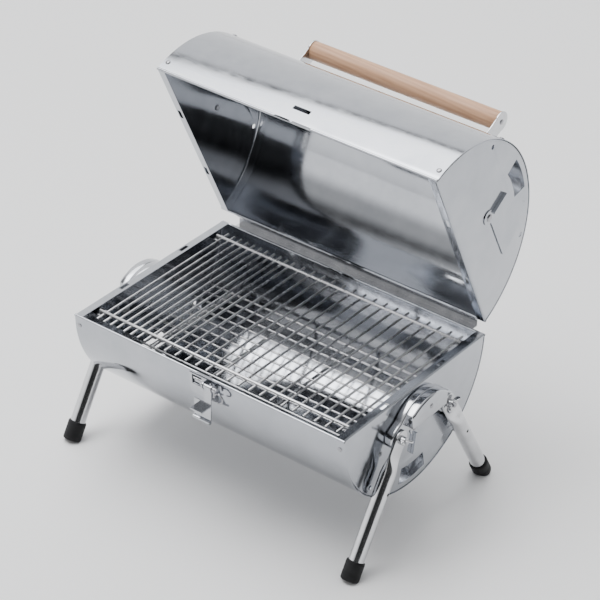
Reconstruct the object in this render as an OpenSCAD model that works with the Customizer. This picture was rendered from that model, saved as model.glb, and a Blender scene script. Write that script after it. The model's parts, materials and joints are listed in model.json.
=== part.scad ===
// Portable barrel charcoal grill, standing on four folding legs with its lid open.
// The barrel axis runs along X, the latch faces -Y, the hinge is at +Y and the floor is z = 0.

/* [Barrel] */
// Length over the outer faces of the end plates
barrel_len = 420; // [380:10:460]
// Outer radius of the rolled shells
barrel_r = 146; // [140:1:152]
// Sheet thickness of the shells
shell_t = 0.8; // [0.6:0.1:1.2]
// Sheet thickness of the end plates
plate_t = 1; // [0.8:0.1:1.5]
// Width of the flange turned in around each end plate
flange_w = 12; // [10:1:14]
// Radius of the rolled bead along the long rims
bead_r = 1.8; // [1.5:0.1:2]

/* [Lid] */
// Angle that the lid is open, from closed
lid_open = 63.5; // [55:0.5:70]
// Gap between the rims of the closed lid and the base
lid_gap = 2; // [1:0.5:3]
// Distance of the hinge axis behind the shell
hinge_back = 12; // [11:0.5:13]
// Height of the hinge axis above the base rim
hinge_up = 12; // [11:0.5:13]
// Radius of the hinge knuckles
knuckle_r = 5; // [4.5:0.1:5.2]
// Radius of the hinge pin
hinge_pin_r = 2.5; // [2:0.1:3]

/* [Handle] */
// Length of the wooden grip
grip_len = 288; // [240:4:296]
// Radius of the wooden grip
grip_r = 12.5; // [11:0.5:13]
// Height of the grip axis above the lid's rim plane
grip_h = 190; // [184:1:196]

/* [Legs] */
// Height of the base rim above the floor
rim_h = 204; // [202:1:205]
// Distance of each leg pivot from the middle of the end plate
leg_y = 50; // [50:1:54]
// Depth of the leg pivots below the base rim
leg_drop = 45; // [44:1:46]
// Length from the leg pivot to the end of the tube
leg_len = 175; // [174:0.5:176]
// Angle that each leg leans out from the vertical
leg_splay = 30.5; // [29:0.5:32]
// Outer radius of the leg tube
tube_r = 10; // [9:0.5:10]
// Outer radius of the rubber foot
foot_r = 12; // [11:0.5:12.5]

/* [Grids] */
// Radius of the wires that food lies on
wire_r = 1.6; // [1.4:0.1:1.8]
// Number of closely spaced wires at the left end
fine_wires = 11; // [9:1:12]
// Pitch of the closely spaced wires
fine_pitch = 11; // [10:0.5:11]
// Number of widely spaced wires
coarse_wires = 16; // [14:1:16]
// Pitch of the widely spaced wires
coarse_pitch = 16.5; // [15:0.5:16.5]
// Number of long wires in the charcoal grate
grate_wires = 11; // [9:2:11]
// Pitch of the charcoal grate's long wires
grate_pitch = 18; // [16:1:18]

/* [Vents] */
// Distance of each damper pivot from the barrel axis
damper_r = 60; // [59:0.5:61]
// Radius of the damper's fan
fan_r = 80; // [79:0.5:81]
// Angle that the fan spans
fan_span = 52; // [50:1:54]
// Angle that each damper is open
damper_open = 62; // [60:1:63]

/* [Hidden] */
$fn = 96;

steel = [0.78, 0.79, 0.81];
bright_steel = [0.86, 0.87, 0.88];
dark_steel = [0.45, 0.46, 0.48];
rubber = [0.07, 0.07, 0.08];
beech = [0.82, 0.68, 0.52];

big = 400;                       // larger than any half of the barrel
fit = 0.05;                      // radial clearance of a pin in its hole
gap = 0.3;                       // clearance between parts that move past each other
half_len = barrel_len / 2;
plate_in = half_len - plate_t;   // inner face of an end plate
flange_in = half_len - flange_w; // inner edge of an end plate's flange
plate_r = barrel_r - shell_t;    // edge of an end plate, inside the shell

hinge_y = barrel_r + hinge_back;
grip_rise = lid_gap + grip_h;
arm_t = 2;
arm_r = grip_r + 1;

// Vent opening in every end plate
vent_in = 114;
vent_out = 136;
vent_half = 11.5;
rivet_r = 2;                     // shank of a damper's rivet

// Latch: the hasp's pin lies in front of the base just under the rim
latch_y = barrel_r + 7;
latch_z = -9;
latch_pin_r = 1.5;
latch_t = 1.2;
tongue_reach = 11;
tongue_at = 34;
slit_h = 6;
slit_x = [-14, 11];
window_x = [-20, -5];            // window beside the hasp, with a tongue bent into it
window_z = [-20, -6];
hasp_x = [4.5, 15.5];            // the hasp's hinge barrel, between the two ears

// Leg pivot stack, as distances from the middle of the barrel
bracket_t = 1.5;
pan_x = half_len + 12;
pan_r = 14.5;
leg_x = half_len + 14.2;
leg_flat = 1.85;                 // half thickness of the flattened tube end
pad_r = 12.5;
bolt_r = 3;
arch_r = 58;
arch_top = -4;
arch_low = -36;
arch_half = 36;
arch_x = half_len + 23;

// The handle's open position and the latch tongue set the depth of the bounding box
function lid_y(y, z) = hinge_y + cos(lid_open) * (y - hinge_y) + sin(lid_open) * (z - hinge_up);
back_edge = lid_y(0, grip_rise) + arm_r;
front_edge = -(latch_y + tongue_reach);
mid_y = (back_edge + front_edge) / 2;

// Moves a piece from the barrel's own frame (origin at the middle of the base rim) to the floor
module placed() translate([0, -mid_y, rim_h]) children();

// Turns a piece that is drawn with the lid closed to where it is with the lid open
module on_lid()
  placed() translate([0, hinge_y, hinge_up]) rotate([-lid_open, 0, 0])
    translate([0, -hinge_y, -hinge_up]) children();

// Flips a base pressing to make the matching lid pressing
module as_lid() translate([0, 0, lid_gap]) mirror([0, 0, 1]) children();

// Extrudes a Y-Z outline along X from x0 to x1
module along_x(x0, x1) translate([x0, 0, 0]) rotate([90, 0, 90]) linear_extrude(x1 - x0) children();

module rod_x(x0, x1, r, y = 0, z = 0) along_x(x0, x1) translate([y, z]) circle(r);

module rod_y(y0, y1, r, x = 0, z = 0) translate([x, y0, z]) rotate([-90, 0, 0]) cylinder(r = r, h = y1 - y0);

// Pie-slice outline from angle a0 to a1, reaching past radius r
module slice(a0, a1, r) polygon([[0, 0], for (i = [0:4]) let (a = a0 + (a1 - a0) * i / 4)
  1.2 * r * [cos(a), sin(a)]]);

module arc_band(r_out, r_in, a0, a1) intersection() {
  difference() {
    circle(r_out);
    circle(r_in);
  }
  slice(a0, a1, r_out);
}

// Outlines of the two rolled beads along the base's rims
module beads() for (s = [-1, 1]) translate([s * (barrel_r - shell_t / 2), -bead_r]) circle(bead_r);

module lower_half() translate([-big / 2, -big]) square([big, big]);

// ---- pressings shared by the base and the lid, drawn as for the base ----

module shell() {
  along_x(-half_len, half_len) intersection() {
    difference() {
      circle(barrel_r);
      circle(plate_r);
    }
    translate([0, -bead_r]) lower_half();
  }
  along_x(-half_len, half_len) beads();
}

module end_plate(legs) {
  slot_l = 15;
  slot_w = 5;
  slot_y = 59;
  hole_r = 3.2;
  hole_at = 135;
  hole_angle = 41;
  difference() {
    union() {
      along_x(plate_in, half_len) intersection() {
        circle(plate_r);
        lower_half();
      }
      along_x(flange_in, plate_in) intersection() {
        union() {
          difference() {
            circle(plate_r);
            circle(plate_r - shell_t);
          }
          translate([-plate_r, -shell_t]) square([2 * plate_r, shell_t]);
        }
        circle(plate_r);
        lower_half();
      }
    }
    along_x(plate_in - 1, half_len + 1) {
      rotate(-90) arc_band(vent_out, vent_in, -vent_half, vent_half);
      translate([0, -damper_r]) circle(rivet_r + fit);
      for (s = [-1, 1])
        rotate(-90 + s * hole_angle) translate([hole_at, 0]) circle(hole_r);
      if (legs)
        for (s = [-1, 1])
          translate([s * leg_y, -leg_drop]) circle(bolt_r + fit);
    }
    along_x(flange_in - 1, half_len + 1) beads();
    for (s = [-1, 1])
      translate([half_len - flange_w / 2 - slot_w / 2, s * slot_y - slot_l / 2, -2 * shell_t])
        cube([slot_w, slot_l, 4 * shell_t]);
  }
}

// Fan-shaped damper on its pivot, open, with a turned-up finger bar
module damper() {
  plate0 = half_len + gap;
  t = 1;
  bar_angle = 8;
  bar_end = 38;
  bar_w = 3;
  bar_h = 4;
  edge_angle = damper_open - fan_span / 2 - 90;
  translate([0, 0, -damper_r]) difference() {
    union() {
      along_x(plate0, plate0 + t) union() {
        rotate(damper_open - 90) arc_band(fan_r, 0.5, -fan_span / 2, fan_span / 2);
        circle(10);
        polygon([[0, 0], bar_end * [cos(-90 - bar_angle), sin(-90 - bar_angle)],
                 (fan_r - 1) * [cos(edge_angle), sin(edge_angle)]]);
      }
      along_x(plate0, plate0 + bar_h) rotate(-90 - bar_angle)
        translate([8, 0]) square([bar_end - 8, bar_w]);
    }
    rod_x(plate0 - 1, plate0 + 4, rivet_r + fit);
  }
}

module damper_rivet() {
  translate([0, 0, -damper_r]) {
    rod_x(plate_in - 1.2, half_len + 1.7, rivet_r);
    rod_x(plate_in - 1.2, plate_in - fit, 4);
    translate([half_len + 1.6, 0, 0]) rotate([0, 90, 0]) cylinder(r1 = 5, r2 = 3.4, h = 1.2);
  }
}

// Round-headed rivets through the shell into the end plates' flanges
module shell_rivets() {
  for (s = [-1, 1], a = [-6, -60, -120, -174])
    translate([s * (half_len - 6.5), 0, 0]) rotate([a, 0, 0]) translate([0, barrel_r, 0])
      rotate([-90, 0, 0]) {
        cylinder(r1 = 3.6, r2 = 2.4, h = 1.1);
        translate([0, 0, -3]) cylinder(r = 1.6, h = 3.05);
      }
}

// ---- hinge ----

knuckles = [48, 130, 24, 130, 48];
hinge_half = 190;
leaf_gap = 0.6;                  // clearance of each leaf's edge from the other leaf's knuckles
function knuckle_end(n) = n == 0 ? -hinge_half : knuckle_end(n - 1) + knuckles[n - 1];

module knuckle_set(first, z_from, z_to) {
  for (n = [first:2:4])
    difference() {
      union() {
        rod_x(knuckle_end(n) + gap, knuckle_end(n + 1) - gap, knuckle_r, hinge_y, hinge_up);
        translate([knuckle_end(n) + gap, hinge_y - shell_t / 2, z_from])
          cube([knuckles[n] - 2 * gap, shell_t, z_to - z_from]);
      }
      rod_x(-hinge_half - 1, hinge_half + 1, hinge_pin_r + fit, hinge_y, hinge_up);
    }
}

module base_hinge_leaf() color(bright_steel) placed() {
  ledge_z = -3.2;
  knuckle_set(0, ledge_z, hinge_up - knuckle_r + 0.8);
  along_x(-hinge_half, hinge_half) difference() {
    union() {
      arc_band(barrel_r + shell_t, barrel_r, -9, -1);
      translate([hinge_y - shell_t / 2, ledge_z])
        square([shell_t, hinge_up - knuckle_r - leaf_gap - ledge_z]);
      difference() {
        translate([barrel_r - 1, ledge_z]) square([hinge_back + 1 + shell_t / 2, shell_t]);
        circle(barrel_r);
      }
    }
    beads();
  }
}

module lid_hinge_leaf() color(bright_steel) on_lid() {
  ledge_z = hinge_up + 8;
  stop_in = knuckle_r + 1;
  stop_out = knuckle_r + 2.4;
  stop_half = 10;
  knuckle_set(1, hinge_up + knuckle_r - 0.8, ledge_z + shell_t);
  along_x(-hinge_half, hinge_half) {
    translate([0, lid_gap]) arc_band(barrel_r + shell_t, barrel_r, 6.7, 14);
    translate([hinge_y - shell_t / 2, hinge_up + knuckle_r + leaf_gap])
      square([shell_t, ledge_z - hinge_up - knuckle_r - leaf_gap + shell_t]);
    difference() {
      translate([barrel_r - 4, ledge_z]) square([hinge_back + 4 + shell_t / 2, shell_t]);
      translate([0, lid_gap]) circle(barrel_r);
    }
  }
  // the stop: a tongue curled round the middle knuckle, which meets the base leaf when open
  along_x(-stop_half, stop_half) translate([hinge_y, hinge_up]) {
    arc_band(stop_out, stop_in, -19.5, 90);
    translate([-shell_t / 2, stop_in]) square([shell_t, 8 + shell_t - stop_in]);
  }
}

module hinge_pin() color(dark_steel) placed() {
  rod_x(-hinge_half - 2, hinge_half + 2, hinge_pin_r, hinge_y, hinge_up);
  for (s = [-1, 1])
    translate([s * (hinge_half + 1), 0, 0]) rod_x(-1, 1, 4, hinge_y, hinge_up);
}

// ---- base ----

module base_shell() color(steel) placed() difference() {
  shell();
  latch_window(-barrel_r - 1, 6);
}

module base_plate(side) color(steel) placed() mirror([side < 0 ? 1 : 0, 0, 0]) end_plate(true);

module base_rivets() color(dark_steel) placed() shell_rivets();

tab_t = 1.2;
grid_tab_x = 189.5;              // how near the middle the tabs of each grid reach
grate_tab_x = 176;
grid_z = -6;                     // axis of the wires that food lies on
cross_r = 2;
cross_y = 116;                   // distance of the cooking grid's cross wires from the middle
cross_z = grid_z + wire_r + cross_r - 1;
grate_z = -62;                   // axis of the charcoal grate's long wires
grate_wire_r = 1.5;

// Angle tabs on the inner face of both end plates, z is their top
module tabs(z, reach, y, half_w) {
  leg_h = 9;
  for (m = [0, 1], s = [-1, 1]) mirror([m, 0, 0]) {
    translate([reach, s * y - half_w, z - tab_t]) cube([plate_in - reach, 2 * half_w, tab_t]);
    translate([plate_in - tab_t, s * y - half_w, z - leg_h]) cube([tab_t, 2 * half_w, leg_h]);
  }
}

module grid_tabs() color(steel) placed() tabs(cross_z - cross_r - gap, grid_tab_x, cross_y, 7);

module grate_tabs() color(steel) placed()
  tabs(grate_z - grate_wire_r - gap, grate_tab_x, 4 * grate_pitch, 8);

// Wire positions across the cooking grid, fine at the left and coarse at the right
wire_x = [for (i = [0:fine_wires - 1]) i * fine_pitch,
          for (i = [1:coarse_wires]) (fine_wires - 1) * fine_pitch + i * coarse_pitch];
wire_span = (fine_wires - 1) * fine_pitch + coarse_wires * coarse_pitch;

module cooking_grid() color(bright_steel) placed() {
  wire_half = 131;
  for (x = wire_x)
    rod_y(-wire_half, wire_half, wire_r, x - wire_span / 2, grid_z);
  for (s = [-1, 1])
    rod_x(-wire_span / 2 - 8, wire_span / 2 + 8, cross_r, s * cross_y, cross_z);
}

module charcoal_grate() color(dark_steel) placed() {
  wire_half = 181;
  cross_half = 95;
  brace_z = grate_z - grate_wire_r - cross_r + 1;
  for (i = [0:grate_wires - 1])
    rod_x(-wire_half, wire_half, grate_wire_r, (i - (grate_wires - 1) / 2) * grate_pitch, grate_z);
  for (x = [-150, -50, 50, 150])
    rod_y(-cross_half, cross_half, cross_r, x, brace_z);
}

// ---- dampers ----

module base_damper(side) color(steel) placed() mirror([side < 0 ? 1 : 0, 0, 0]) damper();

module lid_damper(side) color(steel) on_lid() as_lid() mirror([side < 0 ? 1 : 0, 0, 0]) damper();

module base_damper_rivets() color(dark_steel) placed()
  for (s = [0, 1]) mirror([s, 0, 0]) damper_rivet();

module lid_damper_rivets() color(dark_steel) on_lid() as_lid()
  for (s = [0, 1]) mirror([s, 0, 0]) damper_rivet();

// ---- leg brackets and legs ----

// Outline of the bracket's pan, which reaches round both leg pivots
module pan_outline(inset) {
  pan_low = -leg_drop - 1;
  for (s = [-1, 1])
    translate([s * leg_y, -leg_drop]) circle(pan_r - inset);
  intersection() {
    translate([0, arch_top - arch_r]) circle(arch_r - inset);
    translate([-leg_y, pan_low + inset]) square([2 * leg_y, 50]);
  }
}

// Outline of the bracket's raised middle
module arch_outline(inset) intersection() {
  translate([0, arch_top - arch_r]) circle(arch_r - inset);
  translate([-arch_half + inset, arch_low]) square([2 * (arch_half - inset), 40]);
}

// Stepped pressing that spaces the legs off the end plate
module leg_bracket(side) color(steel) placed() mirror([side < 0 ? 1 : 0, 0, 0]) difference() {
  union() {
    along_x(half_len, pan_x - bracket_t) difference() {
      pan_outline(0);
      pan_outline(bracket_t);
    }
    along_x(pan_x - bracket_t, pan_x) pan_outline(0);
    along_x(pan_x, arch_x - bracket_t) difference() {
      arch_outline(0);
      arch_outline(bracket_t);
    }
    along_x(arch_x - bracket_t, arch_x) arch_outline(0);
  }
  for (s = [-1, 1])
    rod_x(half_len - 1, pan_x + 1, bolt_r + fit, s * leg_y, -leg_drop);
}

// One rivet on the middle of each bracket and one on the end plate outside each leg
module bracket_rivets() color(dark_steel) placed() {
  side_y = 72;
  side_z = -55;
  arch_z = -19;
  for (m = [0, 1]) mirror([m, 0, 0]) {
    translate([arch_x, 0, arch_z]) plate_rivet();
    for (s = [-1, 1])
      translate([half_len, s * side_y, side_z]) plate_rivet();
  }
}

module plate_rivet() rotate([0, 90, 0]) cylinder(r1 = 3.4, r2 = 2.2, h = 1.3);

module leg_bolts() color(dark_steel) placed()
  for (m = [0, 1], s = [-1, 1]) mirror([m, 0, 0]) {
    rod_x(plate_in - 2.5, leg_x + leg_flat + 9, bolt_r, s * leg_y, -leg_drop);
    translate([plate_in - 1.4, s * leg_y, -leg_drop]) rotate([0, 90, 0])
      cylinder(r1 = 4, r2 = 7, h = 1.35);
  }

module wing_nuts() color(bright_steel) placed()
  for (m = [0, 1], s = [-1, 1]) mirror([m, 0, 0])
    translate([leg_x + leg_flat + gap, s * leg_y, -leg_drop]) rotate([s * 25, 0, 0]) difference() {
      union() {
        rod_x(0, 6, 5.5);
        for (w = [0, 180])
          rotate([w, 0, 0]) translate([0, 0, -1.2]) linear_extrude(2.4)
            polygon([[0.6, 4], [2.5, 10], [7.5, 13], [10, 12.4], [10, 9.4], [5.8, 5]]);
      }
      rod_x(-1, 11, bolt_r + fit);
    }

// A leg tube hanging straight down from its pivot at the origin, with its end pressed flat
module leg_tube() {
  flat_end = 22;
  round_from = 44;
  wall = 1.2;
  difference() {
    union() {
      rod_x(-leg_flat, leg_flat, pad_r);
      translate([-leg_flat, -pad_r, -flat_end]) cube([2 * leg_flat, 2 * pad_r, flat_end]);
      hull() {
        translate([-leg_flat, -pad_r, -flat_end - 0.5]) cube([2 * leg_flat, 2 * pad_r, 0.5]);
        translate([0, 0, -round_from]) cylinder(r = tube_r, h = 0.5, $fn = 32);
      }
      translate([0, 0, -leg_len]) difference() {
        cylinder(r = tube_r, h = leg_len - round_from + 0.25);
        translate([0, 0, -1]) cylinder(r = tube_r - wall, h = leg_len - round_from);
      }
    }
    rod_x(-5, 5, bolt_r + fit);
    translate([0, 0, -68]) rod_x(0, 20, 2.2);
  }
}

module foot_cap() rotate_extrude() {
  floor_t = 9;
  length = 26;
  round_r = 1.5;
  translate([0, -leg_len - floor_t]) difference() {
    union() {
      square([foot_r - round_r, length]);
      translate([0, round_r]) square([foot_r, length - 2 * round_r]);
      for (z = [round_r, length - round_r])
        translate([foot_r - round_r, z]) circle(round_r, $fn = 32);
    }
    translate([0, floor_t]) square([tube_r, length]);
    translate([-foot_r, 0]) square([foot_r, length]);
  }
}

// Places a leg piece at its pivot; side is -1 for left, way is -1 for front
module on_leg(side, way) placed() translate([side * leg_x, way * leg_y, -leg_drop])
  rotate([way * leg_splay, 0, 0]) mirror([side < 0 ? 1 : 0, 0, 0]) children();

module leg(side, way) color(bright_steel) on_leg(side, way) leg_tube();

module foot(side, way) color(rubber) intersection() {
  on_leg(side, way) foot_cap();
  translate([-big, -big, 0]) cube([2 * big, 2 * big, big]);
}

// ---- latch ----

module latch_window(y0, depth)
  translate([window_x[0], y0, window_z[0]])
    cube([window_x[1] - window_x[0], depth, window_z[1] - window_z[0]]);

module latch_bracket() color(steel) placed() {
  ear_t = 1.4;
  tongue_l = 10.5;
  tongue_w = 4;
  window_mid = (window_z[0] + window_z[1]) / 2;
  difference() {
    along_x(-24, 21) arc_band(barrel_r + latch_t, barrel_r, 181.6, 194);
    latch_window(-barrel_r - 5, 12);
  }
  intersection() {
    along_x(window_x[1] - tongue_l, window_x[1] + 1) arc_band(barrel_r + latch_t, barrel_r, 181.6, 194);
    translate([-big / 2, -big, window_mid - tongue_w / 2]) cube([big, big, tongue_w]);
  }
  for (x = [hasp_x[0] - gap - ear_t, hasp_x[1] + gap])
    along_x(x, x + ear_t) difference() {
      union() {
        translate([-latch_y, latch_z]) circle(4.5);
        translate([-latch_y, latch_z - 4.5]) square([latch_y - barrel_r + 1, 9]);
      }
      circle(barrel_r);
      beads();
      translate([-latch_y, latch_z]) circle(latch_pin_r + fit);
    }
}

module latch_pin() color(dark_steel) placed() {
  pin_x = [1.6, 23];
  head_r = 2.6;
  head_t = 1.6;
  rod_x(pin_x[0], pin_x[1], latch_pin_r, -latch_y, latch_z);
  for (x = pin_x)
    rod_x(x - head_t / 2, x + head_t / 2, head_r, -latch_y, latch_z);
}

// The hasp hangs open; swung up, its tongue goes through the slit in the lid
module latch_hasp() color(bright_steel) placed() translate([0, -latch_y, latch_z]) {
  half_w = 11;
  shoulder = -24;
  len = 51;
  difference() {
    union() {
      rod_x(hasp_x[0], hasp_x[1], 3.2);
      translate([hasp_x[0], -latch_t / 2, shoulder - 1])
        cube([hasp_x[1] - hasp_x[0], latch_t, -shoulder + 1]);
      translate([-half_w, -latch_t / 2, -len]) cube([half_w + hasp_x[1], latch_t, len + shoulder]);
      rod_x(-half_w, hasp_x[1], 2.4, -1.4, -len);
      translate([-half_w + 2, -tongue_reach, -tongue_at - 1]) cube([2 * half_w - 4, tongue_reach, 2]);
    }
    rod_x(hasp_x[0] - 1, hasp_x[1] + 1, latch_pin_r + fit);
  }
}

// A wire hook that hangs on the same pin
module latch_hook() color(bright_steel) placed() translate([0, -latch_y, latch_z]) {
  eye_x = [17.6, 21.8];
  wire = 1.1;
  collar = 0.6;
  bend_r = 6.5;
  stem_x = (eye_x[0] + eye_x[1]) / 2;
  stem_l = 10.5;
  difference() {
    union() {
      rod_x(eye_x[0], eye_x[1], 3);
      translate([stem_x, 0, -stem_l - collar]) cylinder(r = wire + 0.2, h = stem_l + collar);
    }
    rod_x(eye_x[0] - 1, eye_x[1] + 1, latch_pin_r + fit);
  }
  translate([stem_x + bend_r, 0, -stem_l]) rotate([90, 0, 0]) rotate([0, 0, -100])
    rotate_extrude(angle = 280) translate([bend_r, 0]) circle(wire, $fn = 32);
}

// ---- lid ----

module lid_shell() color(steel) on_lid() difference() {
  as_lid() shell();
  translate([slit_x[0], -barrel_r - 3, latch_z + tongue_at - slit_h / 2])
    cube([slit_x[1] - slit_x[0], 12, slit_h]);
}

module lid_plate(side) color(steel) on_lid() as_lid() mirror([side < 0 ? 1 : 0, 0, 0])
  end_plate(false);

module lid_rivets() color(dark_steel) on_lid() as_lid() shell_rivets();

// Flat arm with a foot that follows the lid and a round end that takes the grip
module handle_arm(side) color(steel) on_lid() mirror([side < 0 ? 1 : 0, 0, 0]) difference() {
  union() {
    along_x(grip_len / 2, grip_len / 2 + arm_t) difference() {
      union() {
        translate([0, grip_rise]) circle(arm_r);
        translate([-arm_r, 100]) square([2 * arm_r, grip_rise - 100]);
      }
      translate([0, lid_gap]) circle(barrel_r);
    }
    along_x(grip_len / 2 - 20, grip_len / 2 + arm_t) intersection() {
      translate([0, lid_gap]) arc_band(barrel_r + arm_t, barrel_r, 80, 100);
      translate([-arm_r, 100]) square([2 * arm_r, 100]);
    }
  }
  rod_x(grip_len / 2 - 1, grip_len / 2 + 4, 2 + fit, 0, grip_rise);
}

module handle_grip() color(beech) on_lid() difference() {
  rod_x(-grip_len / 2, grip_len / 2, grip_r, 0, grip_rise);
  for (s = [-1, 1])
    translate([s * (grip_len / 2 - 9), 0, 0]) rod_x(-10, 10, 2, 0, grip_rise);
}

module handle_screws() color(dark_steel) on_lid()
  for (m = [0, 1]) mirror([m, 0, 0]) {
    rod_x(grip_len / 2 - 17, grip_len / 2 + arm_t + 0.1, 2, 0, grip_rise);
    translate([grip_len / 2 + arm_t, 0, grip_rise]) rotate([0, 90, 0])
      cylinder(r1 = 4.2, r2 = 2.8, h = 1.6);
    for (s = [-1, 1])
      translate([grip_len / 2 - 10, s * 7, lid_gap + sqrt(pow(barrel_r + arm_t, 2) - 49) - 0.1])
        cylinder(r1 = 3, r2 = 2, h = 1.2);
  }

base_shell();
base_plate(-1);  // base_plate_left
base_plate(1);  // base_plate_right
base_rivets();
base_hinge_leaf();
hinge_pin();
grid_tabs();
grate_tabs();
leg_bracket(-1);  // leg_bracket_left
leg_bracket(1);  // leg_bracket_right
bracket_rivets();
leg_bolts();
wing_nuts();
latch_bracket();
latch_pin();
latch_hasp();
latch_hook();
base_damper(-1);  // base_damper_left
base_damper(1);  // base_damper_right
base_damper_rivets();
charcoal_grate();
cooking_grid();
lid_shell();
lid_plate(-1);  // lid_plate_left
lid_plate(1);  // lid_plate_right
lid_rivets();
lid_hinge_leaf();
lid_damper(-1);  // lid_damper_left
lid_damper(1);  // lid_damper_right
lid_damper_rivets();
handle_arm(-1);  // handle_arm_left
handle_arm(1);  // handle_arm_right
handle_grip();
handle_screws();
leg(-1, -1);  // leg_front_left
leg(1, -1);  // leg_front_right
leg(-1, 1);  // leg_back_left
leg(1, 1);  // leg_back_right
foot(-1, -1);  // foot_front_left
foot(1, -1);  // foot_front_right
foot(-1, 1);  // foot_back_left
foot(1, 1);  // foot_back_right
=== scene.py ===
import json
import math
import bmesh
import bpy
from mathutils import Matrix, Vector


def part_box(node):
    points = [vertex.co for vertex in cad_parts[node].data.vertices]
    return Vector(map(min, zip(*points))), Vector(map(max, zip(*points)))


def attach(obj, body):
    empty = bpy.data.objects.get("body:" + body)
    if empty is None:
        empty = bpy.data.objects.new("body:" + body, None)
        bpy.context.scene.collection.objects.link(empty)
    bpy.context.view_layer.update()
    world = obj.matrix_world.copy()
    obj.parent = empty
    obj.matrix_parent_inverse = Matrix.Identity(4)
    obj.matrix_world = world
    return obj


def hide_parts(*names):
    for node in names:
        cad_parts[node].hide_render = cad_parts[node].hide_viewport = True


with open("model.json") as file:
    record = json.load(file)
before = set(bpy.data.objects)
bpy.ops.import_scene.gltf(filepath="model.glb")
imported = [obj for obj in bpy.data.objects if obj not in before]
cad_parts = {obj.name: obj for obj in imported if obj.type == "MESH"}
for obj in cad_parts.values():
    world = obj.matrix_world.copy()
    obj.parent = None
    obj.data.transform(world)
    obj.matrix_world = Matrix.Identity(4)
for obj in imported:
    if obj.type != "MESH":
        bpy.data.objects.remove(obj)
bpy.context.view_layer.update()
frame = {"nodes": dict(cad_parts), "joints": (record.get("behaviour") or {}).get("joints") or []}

# ---------------------------------------------------------------- places, from the frame
MM = 0.001
shell_lo, shell_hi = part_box("base_shell")
YC = (shell_lo[1] + shell_hi[1]) / 2          # barrel axis
ZR = shell_hi[2]                              # base rim
HALF = (shell_hi[0] - shell_lo[0]) / 2 / MM   # half the barrel's length
R = 146.0                                     # outer radius of the shells
T = 0.8                                       # sheet of the shells
GAP = 2.0                                     # lid above base when closed
joints = {j["name"]: j for j in frame["joints"]}
hinge = joints["lid_hinge"]["pos_m"]
HY, HZ = (hinge[1] - YC) / MM, (hinge[2] - ZR) / MM
OPEN = math.radians(63.5)
TO_ROW = Matrix.Translation((0, YC, ZR)) @ Matrix.Scale(MM, 4)
LID = Matrix.Translation((0, HY, HZ)) @ Matrix.Rotation(-OPEN, 4, "X") @ Matrix.Translation((0, -HY, -HZ))
FLIP = Matrix.Translation((0, 0, GAP)) @ Matrix.Scale(-1, 4, (0, 0, 1))
MIRROR_X = Matrix.Scale(-1, 4, (1, 0, 0))


# ---------------------------------------------------------------- mesh tools (millimetres, barrel frame)
class Shape:
    def __init__(self):
        self.v, self.f = [], []

    def add(self, verts, faces, m=None):
        n = len(self.v)
        flip = m is not None and m.determinant() < 0
        self.v += [m @ Vector(p) if m is not None else Vector(p) for p in verts]
        for f in faces:
            g = [n + i for i in f]
            self.f.append(g[::-1] if flip else g)
        return self

    def join(self, other, m=None):
        return self.add(other.v, other.f, m)


def loft(rings, caps=True, closed=False):
    """Rings of equal length, joined in order."""
    s, n = Shape(), len(rings[0])
    verts = [p for r in rings for p in r]
    faces = []
    m = len(rings)
    for i in range(m if closed else m - 1):
        a, b = i * n, ((i + 1) % m) * n
        for k in range(n):
            q = (k + 1) % n
            faces.append([a + k, a + q, b + q, b + k])
    if caps and not closed:
        faces.append(list(range(n))[::-1])
        faces.append([(m - 1) * n + k for k in range(n)])
    return s.add(verts, faces)


def band(path, t):
    """Closed outline of a strip of thickness t about a 2D path."""
    left, right = [], []
    for i, (x, y) in enumerate(path):
        x0, y0 = path[max(i - 1, 0)]
        x1, y1 = path[min(i + 1, len(path) - 1)]
        dx, dy = x1 - x0, y1 - y0
        d = math.hypot(dx, dy) or 1
        nx, ny = -dy / d * t / 2, dx / d * t / 2
        left.append((x + nx, y + ny))
        right.append((x - nx, y - ny))
    return left + right[::-1]


def along_x(outline, xs):
    """A (y, z) outline drawn along X."""
    return loft([[(x, y, z) for y, z in outline] for x in xs])


def tube(points, r, n=14, tip=0.35):
    """A round bar along 3D points, with slightly rounded ends."""
    pts = [Vector(p) for p in points]
    e0, e1 = (pts[1] - pts[0]).normalized(), (pts[-1] - pts[-2]).normalized()
    side = e0.orthogonal().normalized()
    rings = []
    for i, p in enumerate(pts):
        d = (pts[min(i + 1, len(pts) - 1)] - pts[max(i - 1, 0)]).normalized()
        side = (side - d * side.dot(d)).normalized()
        up = d.cross(side)
        rings.append((p, side.copy(), up))

    def ring(c, a, b, k):
        return [c + a * (k * math.cos(2 * math.pi * j / n)) + b * (k * math.sin(2 * math.pi * j / n)) for j in range(n)]

    out = []
    c, a, b = rings[0]
    out += [ring(c, a, b, r * (1 - tip)), ring(c + e0 * r * tip * 0.3, a, b, r * (1 - tip * 0.3)), ring(c + e0 * r * tip, a, b, r)]
    out += [ring(c, a, b, r) for c, a, b in rings[1:-1]]
    c, a, b = rings[-1]
    out += [ring(c - e1 * r * tip, a, b, r), ring(c - e1 * r * tip * 0.3, a, b, r * (1 - tip * 0.3)), ring(c, a, b, r * (1 - tip))]
    return loft(out)


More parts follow.
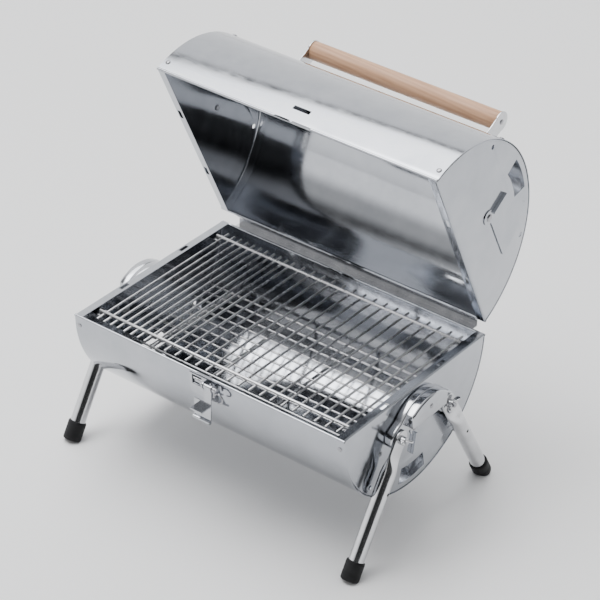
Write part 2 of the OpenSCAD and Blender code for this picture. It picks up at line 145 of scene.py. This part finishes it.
def lathe(profile, n=40):
    """A (radius, height) profile turned round Z. Radii of 0 at the ends close it."""
    s = Shape()
    verts, faces, rows = [], [], []
    for r, h in profile:
        if r < 1e-6:
            rows.append([len(verts)])
            verts.append((0, 0, h))
        else:
            rows.append(list(range(len(verts), len(verts) + n)))
            verts += [(r * math.cos(2 * math.pi * k / n), r * math.sin(2 * math.pi * k / n), h) for k in range(n)]
    for a, b in zip(rows, rows[1:]):
        for k in range(n):
            q = (k + 1) % n
            if len(a) == 1 and len(b) > 1:
                faces.append([a[0], b[q], b[k]])
            elif len(b) == 1 and len(a) > 1:
                faces.append([a[k], a[q], b[0]])
            elif len(a) > 1:
                faces.append([a[k], a[q], b[q], b[k]])
    return s.add(verts, faces)


def arc(cx, cy, r, a0, a1, n):
    return [(cx + r * math.cos(math.radians(a0 + (a1 - a0) * i / n)),
             cy + r * math.sin(math.radians(a0 + (a1 - a0) * i / n))) for i in range(n + 1)]


def plate(outer, holes, x0, x1, edge):
    """A flat (y, z) outline with holes, from x0 to x1, with rounded edges."""
    cu = bpy.data.curves.new("outline", "CURVE")
    cu.dimensions = "2D"
    cu.fill_mode = "BOTH"
    for loop in [outer] + list(holes):
        sp = cu.splines.new("POLY")
        sp.points.add(len(loop) - 1)
        for p, (y, z) in zip(sp.points, loop):
            p.co = (y, z, 0, 1)
        sp.use_cyclic_u = True
    cu.extrude = (x1 - x0) / 2 - edge
    cu.bevel_depth = edge
    cu.bevel_resolution = 3
    cu.offset = -edge
    ob = bpy.data.objects.new("outline", cu)
    bpy.context.scene.collection.objects.link(ob)
    me = bpy.data.meshes.new_from_object(ob.evaluated_get(bpy.context.evaluated_depsgraph_get()))
    s = Shape()
    mid = (x0 + x1) / 2
    s.add([(mid + v.co.z, v.co.x, v.co.y) for v in me.vertices], [list(p.vertices) for p in me.polygons])
    bpy.data.objects.remove(ob)
    bpy.data.curves.remove(cu)
    bpy.data.meshes.remove(me)
    return s


def piece(name, shape, body, material, nodes, m=None, smooth=32, weld=0.005):
    """Turns a shape into an object in the row's frame that stands for CAD nodes."""
    full = TO_ROW @ m if m is not None else TO_ROW
    me = bpy.data.meshes.new(name)
    me.from_pydata([full @ p for p in shape.v], [], [f[::-1] if full.determinant() < 0 else f for f in shape.f])
    bm = bmesh.new()
    bm.from_mesh(me)
    bmesh.ops.remove_doubles(bm, verts=bm.verts, dist=weld * MM)
    bmesh.ops.dissolve_degenerate(bm, edges=bm.edges, dist=1e-7)
    bmesh.ops.recalc_face_normals(bm, faces=bm.faces)
    for f in bm.faces:
        f.smooth = True
    bm.to_mesh(me)
    bm.free()
    me.set_sharp_from_angle(angle=math.radians(smooth))
    me.materials.append(material)
    ob = bpy.data.objects.new(name, me)
    bpy.context.scene.collection.objects.link(ob)
    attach(ob, body)
    if nodes:
        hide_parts(*nodes)
    return ob


# ---------------------------------------------------------------- materials
def tree(name):
    m = bpy.data.materials.new(name)
    m.use_nodes = True
    nt = m.node_tree
    return m, nt, nt.nodes["Principled BSDF"]


def node(nt, kind, **values):
    n = nt.nodes.new(kind)
    for k, v in values.items():
        if k in n.inputs:
            n.inputs[k].default_value = v
        else:
            setattr(n, k, v)
    return n


def noise(nt, scale, stretch=(1, 1, 1), detail=4.0, rough=0.5):
    co = node(nt, "ShaderNodeTexCoord")
    mp = node(nt, "ShaderNodeMapping")
    mp.inputs["Scale"].default_value = stretch
    nz = node(nt, "ShaderNodeTexNoise")
    nz.inputs["Scale"].default_value = scale
    nz.inputs["Detail"].default_value = detail
    nz.inputs["Roughness"].default_value = rough
    nt.links.new(co.outputs["Object"], mp.inputs["Vector"])
    nt.links.new(mp.outputs["Vector"], nz.inputs["Vector"])
    return nz.outputs["Fac"]


def ramp(nt, fac, stops):
    r = node(nt, "ShaderNodeValToRGB")
    e = r.color_ramp.elements
    e[0].position, e[0].color = stops[0][0], (*stops[0][1], 1)
    e[1].position, e[1].color = stops[-1][0], (*stops[-1][1], 1)
    for p, c in stops[1:-1]:
        x = e.new(p)
        x.color = (*c, 1)
    nt.links.new(fac, r.inputs["Fac"])
    return r.outputs["Color"]


def span(nt, fac, a, b, lo=0.3, hi=0.7):
    r = node(nt, "ShaderNodeMapRange")
    r.inputs["From Min"].default_value = lo
    r.inputs["From Max"].default_value = hi
    r.inputs["To Min"].default_value = a
    r.inputs["To Max"].default_value = b
    nt.links.new(fac, r.inputs["Value"])
    return r.outputs["Result"]


def bump(nt, height, distance, strength=1.0, under=None):
    b = node(nt, "ShaderNodeBump")
    b.inputs["Strength"].default_value = strength
    b.inputs["Distance"].default_value = distance
    nt.links.new(height, b.inputs["Height"])
    if under is not None:
        nt.links.new(under, b.inputs["Normal"])
    return b.outputs["Normal"]


def steel(name, dark, light, rough, grain=(1, 1, 1), grain_scale=900, wave=0.0, wave_scale=9, edge=0.4):
    """Polished or satin sheet: grain, smudges in the polish, slow waviness and softened edges."""
    m, nt, p = tree(name)
    p.inputs["Metallic"].default_value = 1.0
    smudge = noise(nt, 28, (1, 1, 1), 5.0, 0.6)
    nt.links.new(ramp(nt, smudge, [(0.3, dark), (0.7, light)]), p.inputs["Base Color"])
    fine = noise(nt, grain_scale, grain, 3.0, 0.6)
    mix = node(nt, "ShaderNodeMath", operation="ADD")
    nt.links.new(span(nt, smudge, rough[0], rough[1]), mix.inputs[0])
    nt.links.new(span(nt, fine, -0.03, 0.03), mix.inputs[1])
    nt.links.new(mix.outputs[0], p.inputs["Roughness"])
    normal = None
    if edge:
        bv = node(nt, "ShaderNodeBevel")
        bv.samples = 4
        bv.inputs["Radius"].default_value = edge * MM
        normal = bv.outputs["Normal"]
    if wave:
        normal = bump(nt, noise(nt, wave_scale, (0.6, 1, 1), 1.0, 0.4), wave, 1.0, normal)
    normal = bump(nt, fine, 0.00003, 0.35, normal)
    nt.links.new(normal, p.inputs["Normal"])
    return m


SHEET = steel("shell_steel", (0.395, 0.41, 0.44), (0.45, 0.465, 0.495), (0.07, 0.13), (1, 12, 12), 60, 0.0010, 6, 0)
PLATE = steel("plate_steel", (0.40, 0.415, 0.445), (0.46, 0.475, 0.505), (0.10, 0.18), (12, 12, 1), 60, 0.0008, 8, 0)
BRIGHT = steel("bright_steel", (0.52, 0.525, 0.54), (0.66, 0.665, 0.68), (0.09, 0.18), (6, 6, 1), 200, 0.0, 9, 0.4)
PRESSED = steel("pressed_steel", (0.42, 0.43, 0.455), (0.52, 0.53, 0.555), (0.10, 0.18), (4, 4, 4), 90, 0.0006, 18, 0)
WIRE = steel("grid_wire", (0.60, 0.60, 0.61), (0.78, 0.78, 0.79), (0.22, 0.36), (1, 1, 1), 420, 0.0, 9, 0)
ZINC = steel("fixings_zinc", (0.30, 0.30, 0.32), (0.48, 0.48, 0.50), (0.22, 0.38), (1, 1, 1), 700, 0.0, 9, 0.3)


def wood_material():
    m, nt, p = tree("beech_grip")
    co = node(nt, "ShaderNodeTexCoord")
    mp = node(nt, "ShaderNodeMapping")
    mp.inputs["Scale"].default_value = (4.5, 60, 60)
    nt.links.new(co.outputs["Object"], mp.inputs["Vector"])
    wv = node(nt, "ShaderNodeTexWave", wave_type="BANDS", bands_direction="DIAGONAL")
    for k, v in {"Scale": 1.4, "Distortion": 5.5, "Detail": 4.0, "Detail Scale": 1.3}.items():
        wv.inputs[k].default_value = v
    nt.links.new(mp.outputs["Vector"], wv.inputs["Vector"])
    fleck = noise(nt, 260, (0.08, 1, 1), 6.0, 0.65)
    broad = noise(nt, 10, (0.7, 1, 1), 2.0, 0.5)
    grain = ramp(nt, wv.outputs["Fac"], [(0.0, (0.56, 0.315, 0.18)), (0.55, (0.61, 0.35, 0.205)), (1.0, (0.65, 0.385, 0.23))])
    warm = ramp(nt, broad, [(0.3, (0.92, 0.88, 0.85)), (0.7, (1.0, 1.0, 1.0))])
    pores = ramp(nt, fleck, [(0.36, (0.82, 0.76, 0.72)), (0.5, (1.0, 1.0, 1.0))])
    a = node(nt, "ShaderNodeMix", data_type="RGBA", blend_type="MULTIPLY")
    a.inputs["Factor"].default_value = 0.8
    nt.links.new(grain, a.inputs["A"]); nt.links.new(warm, a.inputs["B"])
    b = node(nt, "ShaderNodeMix", data_type="RGBA", blend_type="MULTIPLY")
    b.inputs["Factor"].default_value = 0.55
    nt.links.new(a.outputs["Result"], b.inputs["A"]); nt.links.new(pores, b.inputs["B"])
    nt.links.new(b.outputs["Result"], p.inputs["Base Color"])
    nt.links.new(span(nt, fleck, 0.5, 0.38), p.inputs["Roughness"])
    nt.links.new(bump(nt, fleck, 0.00012, 0.5), p.inputs["Normal"])
    return m


def rubber_material():
    m, nt, p = tree("moulded_rubber")
    grit = noise(nt, 1500, (1, 1, 1), 4.0, 0.6)
    dust = noise(nt, 60, (1, 1, 1), 4.0, 0.6)
    nt.links.new(ramp(nt, dust, [(0.35, (0.007, 0.007, 0.008)), (0.75, (0.014, 0.014, 0.015))]), p.inputs["Base Color"])
    p.inputs["Specular IOR Level"].default_value = 0.25
    nt.links.new(span(nt, grit, 0.50, 0.68), p.inputs["Roughness"])
    nt.links.new(bump(nt, grit, 0.00008, 0.6), p.inputs["Normal"])
    return m


WOOD = wood_material()
RUBBER = rubber_material()

# ---------------------------------------------------------------- shells, with rolled beads
BEAD = 1.8


def shell_outline():
    """Half circle of sheet whose two long edges curl outwards into beads."""
    mid = R - T / 2
    curl = BEAD - T / 2
    n = 150
    start = math.degrees(2 * BEAD / mid) * 0.5
    right = [(mid + curl * (math.cos(math.radians(a)) - 0), -BEAD + curl * math.sin(math.radians(a))) for a in range(-250, 181, 18)]
    path = [(-y, z) for y, z in right]
    path += arc(0, 0, mid, 180 + start + 0.4, 360 - start - 0.4, n)
    path += right[::-1]
    return band(path, T)


def shell_shape(window):
    """window = (x0, x1, z0, z1) is cut through the front of the shell."""
    x0, x1, z0, z1 = window
    s = Shape()
    full = shell_outline()
    s.join(along_x(full, [-HALF, -HALF + 1, *[(-HALF + 1) + (x0 + HALF - 1) * i / 12 for i in range(1, 13)]]))
    s.join(along_x(full, [*[x1 + (HALF - 1 - x1) * i / 12 for i in range(12)], HALF - 1, HALF]))
    mid = R - T / 2
    curl = BEAD - T / 2
    start = math.degrees(2 * BEAD / mid) * 0.5 + 0.4
    a_hi = 180 + math.degrees(math.asin(-z1 / mid))
    a_lo = 180 + math.degrees(math.asin(-z0 / mid))
    bead = [(mid + curl * math.cos(math.radians(a)), -BEAD + curl * math.sin(math.radians(a))) for a in range(-250, 181, 18)]
    top = [(-y, z) for y, z in bead] + arc(0, 0, mid, 180 + start, a_hi, 6)
    rest = arc(0, 0, mid, a_lo, 360 - start, 140) + bead[::-1]
    for path in (top, rest):
        s.join(along_x(band(path, T), [x0, (x0 + x1) / 2, x1]))
    return s


def rivets(places, r, h):
    """Domed heads: places are (point, outward direction)."""
    s = Shape()
    prof = [(0, -0.4), (r * 0.96, -0.4), (r, 0.12 * h), (r * 0.93, 0.38 * h), (r * 0.74, 0.7 * h), (r * 0.42, 0.92 * h), (0, h)]
    for p, d in places:
        q = Vector((0, 0, 1)).rotation_difference(Vector(d)).to_matrix().to_4x4()
        s.join(lathe(prof, 20), Matrix.Translation(p) @ q)
    return s


def shell_rivet_places():
    out = []
    for side in (-1, 1):
        for a in (-6, -60, -120, -174):
            d = Vector((0, math.cos(math.radians(a)), math.sin(math.radians(a))))
            out.append((Vector((side * (HALF - 6.5), 0, 0)) + d * R, d))
    return out


WINDOW = (-20, -5, -20, -6)
SLIT = (-14, 11, -(25 + 3 - GAP), -(25 - 3 - GAP))
piece("shell_of_base", shell_shape(WINDOW), "base", SHEET, ["base_shell"])
piece("shell_of_lid", shell_shape(SLIT), "lid", SHEET, ["lid_shell"], LID @ FLIP)
piece("rivets_of_base", rivets(shell_rivet_places(), 3.4, 1.5), "base", ZINC, ["base_rivets"])
piece("rivets_of_lid", rivets(shell_rivet_places(), 3.4, 1.5), "lid", ZINC, ["lid_rivets"], LID @ FLIP)

# ---------------------------------------------------------------- end plates
PR = R - T - 0.05
BEND = 2.6


def end_plate():
    t = 1.0
    s = Shape()
    rim = [(-(PR - BEND), -BEND)] + arc(0, 0, PR - BEND, 181.03, 358.97, 140)[1:-1] + [(PR - BEND, -BEND)]
    holes = []
    vent = arc(0, 0, 114, 258.5, 281.5, 16) + arc(0, 0, 136, 281.5, 258.5, 18)
    holes.append(vent)
    for sg in (-1, 1):
        a = math.radians(-90 + sg * 41)
        holes.append(arc(135 * math.cos(a), 135 * math.sin(a), 3.2, 0, 352, 22))
    s.join(plate(rim, holes, HALF - t, HALF, 0.18))
    # turned-in flange round the arc, and the one along the rim with two slots
    bend = [(HALF - BEND + BEND * math.sin(math.radians(a)), PR - BEND + BEND * math.cos(math.radians(a))) for a in range(90, -1, -10)]
    path = [(x - 0, r) for x, r in bend] + [(HALF - 12, PR)]
    inner = [(x - (t if i < 1 else t * math.sin(math.radians(90 - 10 * i))), r - (0 if i < 1 else t * math.cos(math.radians(90 - 10 * i))))
             for i, (x, r) in enumerate(bend)] + [(HALF - 12, PR - T)]
    outline = path + inner[::-1]
    rings = []
    for i in range(141):
        a = math.radians(180.6 + 178.8 * i / 140)
        rings.append([(x, r * math.cos(a), r * math.sin(a)) for x, r in outline])
    s.join(loft(rings))
    top = [(x, -(PR - r)) for x, r in outline]
    ys = [-(PR - 0.2), -66.5, -51.5, 51.5, 66.5, PR - 0.2]
    for a, b in zip(ys, ys[1:]):
        if abs(abs((a + b) / 2) - 59) > 1:
            s.join(loft([[(x, y, z) for x, z in top] for y in (a, (a + b) / 2, b)]))
        else:
            # beside a slot the flange is two narrow strips
            for x0, x1 in ((HALF - 12, HALF - 8.5), (HALF - 3.5, HALF)):
                if x1 == HALF:
                    part = [(x, z) for x, z in path_top(path) if x >= HALF - 3.5] + [(HALF - 3.5, 0)]
                    low = [(HALF - 3.5, -T)] + [(x, z) for x, z in path_top(inner[::-1]) if x > HALF - 3.5]
                    s.join(loft([[(x, y, z) for x, z in part + low] for y in (a, b)]))
                else:
                    s.join(loft([[(x, y, z) for x, z in ((x1, 0), (x0, 0), (x0, -T), (x1, -T))] for y in (a, b)]))
    return s


def path_top(points):
    return [(x, -(PR - r)) for x, r in points]


right_plate = end_plate()
for side, m in (("left", MIRROR_X), ("right", Matrix.Identity(4))):
    piece("end_of_base_" + side, right_plate, "base", PLATE, ["base_plate_" + side], m)
    piece("end_of_lid_" + side, right_plate, "lid", PLATE, ["lid_plate_" + side], LID @ FLIP @ m)

# ---------------------------------------------------------------- legs, feet, brackets
LEG_Y, LEG_Z, LEG_X = 50.0, -45.0, HALF + 14.2
SPLAY = math.radians(30.5)


def stadium(w, h, n=40):
    out = []
    r = min(w, h)
    for k in range(n):
        a = 2 * math.pi * k / n
        c, s_ = math.cos(a), math.sin(a)
        y = r * c + math.copysign(w - r, c) * min(1, abs(c) * 6)
        out.append((r * s_ if w >= h else h * s_, y))
    return out


def leg_shape():
    rings = []
    top = 12.5
    for a in range(4, 91, 8):
        z = top * math.cos(math.radians(a))
        w = max(top * math.sin(math.radians(a)), 1.9)
        rings.append([(x, y, z) for x, y in stadium(w, 1.85)])
    for z, k in [(-8, 0), (-18, 0)] + [(-20 - 26 * i / 12, i / 12) for i in range(13)]:
        e = k * k * (3 - 2 * k)
        rings.append([(x, y, z) for x, y in stadium(12.5 - 2.5 * e, 1.85 + 8.15 * e)])
    for z in (-60, -90, -120, -150, -174):
        rings.append([(x, y, z) for x, y in stadium(10, 10)])
    return loft(rings)


def foot_shape():
    top = -158.0
    prof = [(0, -184), (9.6, -184), (11.2, -183.4), (12, -181.8), (12.05, -174), (11.75, -172.6), (12, -171.2),
            (12, -162.5), (12.15, -161), (11.9, -159), (11.2, -158), (10.3, -158), (10.02, -158.6), (10.02, -172), (0, -172)]
    return lathe(prof, 48)


def with_pit(shape, centre, axis, r, depth):
    """A copy of a solid shape with a round blind hole, centre on the skin and axis pointing inwards."""
    solids = []
    q = Vector((0, 0, 1)).rotation_difference(Vector(axis)).to_matrix().to_4x4()
    cutter = Shape().join(lathe([(0, -4), (r, -4), (r, depth), (0, depth)], 28), Matrix.Translation(centre) @ q)
    for sh in (shape, cutter):
        me = bpy.data.meshes.new("solid")
        me.from_pydata([tuple(v) for v in sh.v], [], sh.f)
        bm = bmesh.new()
        bm.from_mesh(me)
        bmesh.ops.remove_doubles(bm, verts=bm.verts, dist=0.002)
        bmesh.ops.recalc_face_normals(bm, faces=bm.faces)
        bm.to_mesh(me)
        bm.free()
        ob = bpy.data.objects.new("solid", me)
        bpy.context.scene.collection.objects.link(ob)
        solids.append(ob)
    cut = solids[0].modifiers.new("cut", "BOOLEAN")
    cut.operation = "DIFFERENCE"
    cut.solver = "EXACT"
    cut.object = solids[1]
    me = bpy.data.meshes.new_from_object(solids[0].evaluated_get(bpy.context.evaluated_depsgraph_get()))
    out = Shape().add([v.co.copy() for v in me.vertices], [list(f.vertices) for f in me.polygons])
    for ob in solids:
        old = ob.data
        bpy.data.objects.remove(ob)
        bpy.data.meshes.remove(old)
    bpy.data.meshes.remove(me)
    return out


leg = with_pit(leg_shape(), (10, 0, -68), (-1, 0, 0), 2.2, 5)
foot = foot_shape()
for fb, way in (("front", -1), ("back", 1)):
    for lr, side in (("left", -1), ("right", 1)):
        m = (Matrix.Translation((side * LEG_X, way * LEG_Y, LEG_Z)) @ Matrix.Rotation(way * SPLAY, 4, "X")
             @ (MIRROR_X if side < 0 else Matrix.Identity(4)))
        body = f"leg_{fb}_{lr}"
        piece(f"tube_{fb}_{lr}", leg, body, BRIGHT, [body], m)
        ob = piece(f"rubber_{fb}_{lr}", foot, body, RUBBER, [f"foot_{fb}_{lr}"], m, 40)
        for v in ob.data.vertices:
            v.co.z = max(v.co.z, 0.0)


def pan():
    out = arc(LEG_Y, LEG_Z, 14.5, -90, 66, 20)
    out += [(y, z) for y, z in arc(0, -62, 58, 38, 142, 36)]
    out += arc(-LEG_Y, LEG_Z, 14.5, 114, 270, 20)
    out += [(-47, -59.5), (-40, -55), (-34, -49), (-28, -46.2), (28, -46.2), (34, -49), (40, -55), (47, -59.5)]
    return out


def arch():
    half, low = 36.0, -36.0
    a = math.degrees(math.acos(half / 58))
    return [(half, low + 2), (half, -62 + 58 * math.sin(math.radians(a)))] + arc(0, -62, 58, a, 180 - a, 30)[1:-1] + \
        [(-half, -62 + 58 * math.sin(math.radians(a))), (-half, low + 2), (-half + 2, low), (half - 2, low)]


bracket = Shape().join(plate(pan(), [], HALF, HALF + 12, 2.4)).join(plate(arch(), [], HALF + 9, HALF + 23, 3.2))
for side, m in (("left", MIRROR_X), ("right", Matrix.Identity(4))):
    piece("bracket_" + side, bracket, "base", PRESSED, ["leg_bracket_" + side], m, 50)

spots = []
for sx in (-1, 1):
    spots.append((Vector((sx * (HALF + 23), 0, -19)), (sx, 0, 0)))
    for sy in (-1, 1):
        spots.append((Vector((sx * HALF, sy * 70, -62)), (sx, 0, 0)))
piece("rivets_of_brackets", rivets(spots, 3.4, 1.4), "base", ZINC, ["bracket_rivets"])


def wing_nut():
    s = Shape()
    s.join(lathe([(3.1, 0), (5.9, 0), (6.0, 0.6), (5.4, 3.4), (4.9, 5.6), (4.3, 6.2), (3.1, 6.2), (3.1, 0)], 28),
           Matrix.Rotation(math.radians(90), 4, "Y"))
    wing = [(3.6, 0.6), (10, 2.2), (12.6, 4.2), (13.2, 6.8), (12.6, 9.2), (10.8, 10), (9, 9.2), (7.2, 7.2), (4.6, 5.6), (3.4, 5.4)]
    w = plate([(y, x) for y, x in wing], [], -1.3, 1.3, 0.7)
    for sg in (-1, 1):
        # the wing's outline lies in the plane of the axis and one radius
        m = Matrix(((0, 0, 1, 0), (0, sg, 0, 0), (-sg if sg > 0 else -sg, 0, 0, 0), (0, 0, 0, 1)))
        s.join(w, m)
    return s


nuts = Shape()
for sx in (-1, 1):
    for sy in (-1, 1):
        nuts.join(wing_nut(), (MIRROR_X if sx < 0 else Matrix.Identity(4))
                  @ Matrix.Translation((LEG_X + 2.15, sy * LEG_Y, LEG_Z)) @ Matrix.Rotation(math.radians(sy * 25), 4, "X"))
piece("wing_nuts_cast", nuts, "base", BRIGHT, ["wing_nuts"])

# ---------------------------------------------------------------- cooking grid and charcoal grate
GRID_Z, CROSS_Z = -6.0, -3.4
grid = Shape()
xs = [i * 11.0 - 187 for i in range(11)] + [-77 + 16.5 * i for i in range(1, 17)]
for x in xs:
    grid.join(tube([(x, -131, GRID_Z), (x, -60, GRID_Z), (x, 60, GRID_Z), (x, 131, GRID_Z)], 1.6))
for sy in (-1, 1):
    grid.join(tube([(-195, sy * 116, CROSS_Z), (-60, sy * 116, CROSS_Z), (60, sy * 116, CROSS_Z), (195, sy * 116, CROSS_Z)], 2.0))
    for x in xs:
        grid.join(lathe([(0, -1.1), (1.5, -0.9), (2.3, 0), (1.5, 0.9), (0, 1.1)], 12), Matrix.Translation((x, sy * 116, GRID_Z + 1.5)))
piece("grid_of_wire", grid, "cooking_grid", WIRE, ["cooking_grid"])

grate = Shape()
for i in range(11):
    y = (i - 5) * 18.0
    grate.join(tube([(-181, y, -62), (-60, y, -62), (60, y, -62), (181, y, -62)], 1.5))
for x in (-150, -50, 50, 150):
    grate.join(tube([(x, -95, -64.5), (x, -30, -64.5), (x, 30, -64.5), (x, 95, -64.5)], 2.0))
piece("grate_of_wire", grate, "charcoal_grate", WIRE, ["charcoal_grate"])

# ---------------------------------------------------------------- handle
GRIP_Z = GAP + 190
GRIP_R = 12.5
L2 = 144.0
prof = [(0, -L2), (11.4, -L2), (12.1, -L2 + 0.4), (12.5, -L2 + 1.3)]
prof += [(12.5, -L2 + 1.3 + (2 * L2 - 2.6) * i / 24) for i in range(1, 24)]
prof += [(12.5, L2 - 1.3), (12.1, L2 - 0.4), (11.4, L2), (0, L2)]
piece("grip_of_beech", lathe(prof, 56), "lid", WOOD, ["handle_grip"],
      LID @ Matrix.Translation((0, 0, GRIP_Z)) @ Matrix.Rotation(math.radians(90), 4, "Y"))


def arm_outline():
    z0 = GAP + math.sqrt(R * R - 13.5 ** 2)
    out = [(13.5, z0), (12.2, z0 + 8), (11.6, GRIP_Z - 16), (12.4, GRIP_Z - 8)]
    out += arc(0, GRIP_Z, 13.5, -28, 208, 36)
    out += [(-12.4, GRIP_Z - 8), (-11.6, GRIP_Z - 16), (-12.2, z0 + 8), (-13.5, z0)]
    out += [(y, GAP + math.sqrt((R + 0.2) ** 2 - y * y)) for y in (-9, -4, 0, 4, 9)]
    return out


arm = plate(arm_outline(), [], L2, L2 + 2, 0.5)
foot_path = arc(0, GAP, R + 1, 84.8, 95.2, 12)
arm.join(along_x(band(foot_path, 2), [L2 - 20, L2 - 19, L2 - 4, L2 + 1.9]))
for side, m in (("left", MIRROR_X), ("right", Matrix.Identity(4))):
    piece("arm_" + side, arm, "lid", BRIGHT, ["handle_arm_" + side], LID @ m)

screws = []
for sx in (-1, 1):
    screws.append((Vector((sx * (L2 + 2), 0, GRIP_Z)), (sx, 0, 0)))
    for sy in (-1, 1):
        z = GAP + math.sqrt((R + 2) ** 2 - 49) - 0.1
        screws.append((Vector((sx * (L2 - 10), sy * 7, z)), (0, 0, 1)))
piece("screws_of_handle", rivets(screws, 3.6, 1.6), "lid", ZINC, ["handle_screws"], LID)

# ---------------------------------------------------------------- finishes of the CAD nodes that stay
KEEP = {
    "base_hinge_leaf": BRIGHT, "lid_hinge_leaf": BRIGHT, "hinge_pin": ZINC, "grid_tabs": BRIGHT, "grate_tabs": BRIGHT,
    "leg_bolts": ZINC, "latch_bracket": PRESSED, "latch_pin": ZINC, "latch_hasp": PRESSED, "latch_hook": ZINC,
    "base_damper_left": PLATE, "base_damper_right": PLATE, "lid_damper_left": PLATE, "lid_damper_right": PLATE,
    "base_damper_rivets": ZINC, "lid_damper_rivets": ZINC,
}
for name, mat in KEEP.items():
    ob = frame["nodes"][name]
    for s in ob.material_slots:
        s.material = mat

# ---------------------------------------------------------------- floor, light, camera
me = bpy.data.meshes.new("floor")
me.from_pydata([(-8, -8, 0), (8, -8, 0), (8, 8, 0), (-8, 8, 0)], [], [(0, 1, 2, 3)])
floor = bpy.data.objects.new("floor", me)
bpy.context.scene.collection.objects.link(floor)
fm, nt, p = tree("pale_floor")
p.inputs["Base Color"].default_value = (0.93, 0.93, 0.93, 1)
p.inputs["Roughness"].default_value = 0.9
me.materials.append(fm)

world = bpy.data.worlds.new("studio")
bpy.context.scene.world = world
world.use_nodes = True
nt = world.node_tree
sep = node(nt, "ShaderNodeSeparateXYZ")
nt.links.new(node(nt, "ShaderNodeTexCoord").outputs["Generated"], sep.inputs["Vector"])
sky_x, sky_y, sky_z = (sep.outputs[k] for k in "XYZ")


def calc(op, a, b=None, c=None):
    n = node(nt, "ShaderNodeMath", operation=op)
    for i, v in enumerate((a, b, c)):
        if isinstance(v, (int, float)):
            n.inputs[i].default_value = v
        elif v is not None:
            nt.links.new(v, n.inputs[i])
    return n.outputs[0]


def step(x, a, b, lo=0.0, hi=1.0):
    """Smooth step of a sky coordinate from lo at a to hi at b."""
    n = node(nt, "ShaderNodeMapRange", interpolation_type="SMOOTHSTEP")
    for k, v in (("From Min", a), ("From Max", b), ("To Min", lo), ("To Max", hi)):
        n.inputs[k].default_value = v
    nt.links.new(x, n.inputs["Value"])
    return n.outputs["Result"]


# a softbox up and to the left, grey walls at the back and left, black drapes at the front right
toward = calc("ADD", calc("MULTIPLY", sky_x, 0.90), calc("MULTIPLY", sky_y, -0.44))
tilted = calc("ADD", sky_z, step(sky_x, -0.7, -0.3, -0.2, 0.2))
above = calc("ADD", calc("ADD", calc("MULTIPLY", sky_x, -0.50), calc("MULTIPLY", sky_y, 0.15)), calc("MULTIPLY", sky_z, 0.85))
softbox = calc("MULTIPLY", step(above, 0.79, 0.88), step(tilted, 0.66, 0.71, 0.0, 4.6))
back_wall = step(tilted, 0.61, 0.65, 1.6, 0.12)
front_wall = calc("MULTIPLY", step(sky_z, 0.20, 0.42, 1.8, 0.7), step(sky_z, 0.5, 0.65, 1.0, 0.2))
is_back = step(sky_y, -0.35, 0.25)
walls = calc("ADD", calc("MULTIPLY", back_wall, is_back), calc("MULTIPLY", front_wall, calc("SUBTRACT", 1.0, is_back)))
ceiling = step(tilted, 0.68, 0.78, 0.0, 0.6)
drape = calc("MAXIMUM", step(toward, 0.10, 0.45, 1.0, 0.03), step(sky_z, 0.42, 0.75, 0.03, 1.0))
light = calc("ADD", softbox, calc("MULTIPLY", calc("ADD", walls, ceiling), drape))
bg = nt.nodes["Background"]
nt.links.new(light, bg.inputs["Strength"])
bg.inputs["Color"].default_value = (0.985, 0.99, 1.0, 1)


def area(name, loc, target, size, power, color=(1, 1, 1)):
    li = bpy.data.lights.new(name, "AREA")
    li.shape = "RECTANGLE"
    li.size, li.size_y = size
    li.energy = power
    li.color = color
    ob = bpy.data.objects.new(name, li)
    ob.location = loc
    ob.rotation_euler = (Vector(target) - Vector(loc)).to_track_quat("-Z", "Y").to_euler()
    bpy.context.scene.collection.objects.link(ob)
    return ob


area("key", (-1.0, -0.6, 2.6), (0, 0, 0.2), (1.6, 1.2), 26)

AZ, EL, ROLL, DIST = math.radians(37.06), math.radians(33.81), math.radians(1.57), 3.203
target = Vector((0, YC, ZR))
d = Vector((math.sin(AZ) * math.cos(EL), -math.cos(AZ) * math.cos(EL), math.sin(EL)))
cam = bpy.data.objects.new("camera", bpy.data.cameras.new("camera"))
bpy.context.scene.collection.objects.link(cam)
cam.location = target + d * DIST
look = (-d).to_track_quat("-Z", "Y")
cam.rotation_mode = "QUATERNION"
cam.rotation_quaternion = look @ Matrix.Rotation(ROLL, 3, "Z").to_quaternion()
cam.data.lens = 154.3
cam.data.sensor_width = 36
cam.data.shift_x = 0.0342
cam.data.shift_y = 0.0395
cam.data.clip_end = 50
bpy.context.scene.camera = cam
